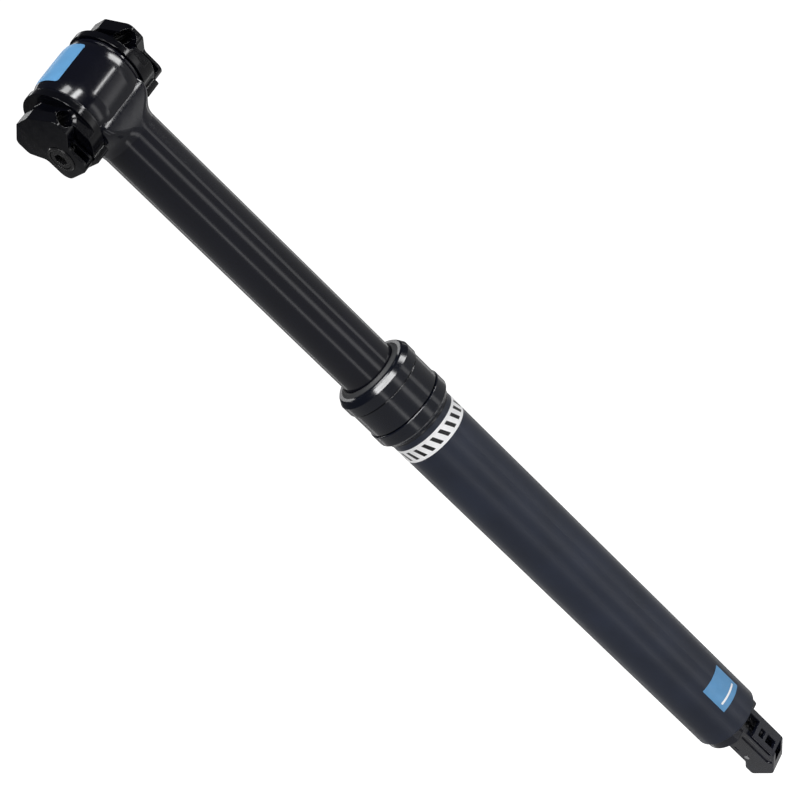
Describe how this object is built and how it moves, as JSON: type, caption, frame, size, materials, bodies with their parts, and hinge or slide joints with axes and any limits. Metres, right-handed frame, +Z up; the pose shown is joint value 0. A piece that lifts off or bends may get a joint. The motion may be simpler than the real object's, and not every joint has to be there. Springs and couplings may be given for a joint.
{
  "type": "dropper seatpost",
  "caption": "Telescoping bicycle seatpost with a sliding stanchion, collar and seal, tilting two-sided saddle rail clamp and a cable-pulled release at its lower end.",
  "frame": {"origin": "on the post's axis at the underside of the collar, where the frame's seat tube ends", "axes": "+Z up the post towards the saddle; saddle rails run along X, with the open front of the release housing towards +X; the clamp bolt runs along Y with its head towards -Y"},
  "size_m": [0.037, 0.057, 0.4504],
  "materials": {
    "tube_finish": "satin dark blue-grey anodise with a white band",
    "stanchion_finish": "gloss black hard anodise",
    "collar_finish": "semi-gloss black anodise",
    "clamp_finish": "gloss black anodised forging",
    "housing_finish": "semi-gloss black die casting",
    "bolt_finish": "black oxide steel",
    "seal_rubber": "matt grey rubber",
    "bumper_rubber": "matt black rubber",
    "foam": "oiled open-cell foam",
    "bushing_polymer": "dry-running polymer",
    "key_brass": "turned brass",
    "steel": "bright turned steel",
    "aluminium": "plain turned aluminium"
  },
  "bodies": {
    "outer_tube": {"outer_tube": "tube_finish", "collar_base_ring": "collar_finish", "collar_sleeve": "collar_finish", "seal_retainer": "collar_finish", "wiper_seal": "seal_rubber", "foam_ring": "foam", "upper_bushing": "bushing_polymer", "tube_end_plug": "aluminium", "cartridge_rod": "steel", "piston": "aluminium", "piston_seal": "bumper_rubber", "release_housing": "housing_finish", "pivot_pin": "steel", "pivot_clip": "steel", "pin_spring": "steel"},
    "stanchion": {"stanchion": "stanchion_finish", "guide_keys": "key_brass", "lower_bushing": "bushing_polymer", "topout_bumper": "bumper_rubber", "cartridge_cylinder": "aluminium", "cartridge_cap": "aluminium", "cartridge_nut": "steel", "cartridge_gland": "aluminium", "gland_seal": "bumper_rubber", "gland_circlip": "steel", "cartridge_bumper": "bumper_rubber"},
    "saddle_clamp": {"inner_clamp_near": "clamp_finish", "inner_clamp_far": "clamp_finish"},
    "near_plate": {"outer_plate_near": "clamp_finish", "clamp_bolt": "bolt_finish", "bolt_washer": "bolt_finish"},
    "far_plate": {"outer_plate_far": "clamp_finish", "clamp_nut": "steel"},
    "release_lever": {"release_lever": "housing_finish"},
    "release_pin": {"release_pin": "steel"},
    "cable_barrel": {"cable_barrel": "steel", "barrel_screw": "bolt_finish"}
  },
  "joints": [
    {"name": "dropper_travel", "type": "slide", "parent": "outer_tube", "child": "stanchion", "axis": [0, 0, 1], "range_m": [-0.12, 0], "stiffness_N_per_m": 200, "springref_m": 1},
    {"name": "saddle_tilt", "type": "hinge", "parent": "stanchion", "child": "saddle_clamp", "pos_m": [0, 0, 0.1903], "axis": [0, 1, 0], "range_deg": [-15, 15]},
    {"name": "near_plate_slide", "type": "slide", "parent": "saddle_clamp", "child": "near_plate", "axis": [0, -1, 0], "range_m": [0, 0.004]},
    {"name": "far_plate_slide", "type": "slide", "parent": "saddle_clamp", "child": "far_plate", "axis": [0, 1, 0], "range_m": [0, 0.004]},
    {"name": "release_pin_slide", "type": "slide", "parent": "outer_tube", "child": "release_pin", "axis": [0, 0, 1], "range_m": [0, 0.00139], "stiffness_N_per_m": 500, "springref_m": -0.003, "deforming": ["pin_spring"]},
    {"name": "release_lever_pivot", "type": "hinge", "parent": "outer_tube", "child": "release_lever", "pos_m": [-0.0039, 0, -0.2304], "axis": [0, -1, 0], "range_deg": [-0.5, 22.5]},
    {"name": "cable_barrel_turn", "type": "hinge", "parent": "release_lever", "child": "cable_barrel", "pos_m": [-0.0082, 0, -0.2304], "axis": [0, -1, 0], "range_deg": [-22.5, 0.5]}
  ],
  "couplings": [
    {"joint": "release_lever_pivot", "follows": "release_pin_slide", "rad_per_m": 275.25},
    {"joint": "cable_barrel_turn", "follows": "release_pin_slide", "rad_per_m": -275.25}
  ]
}
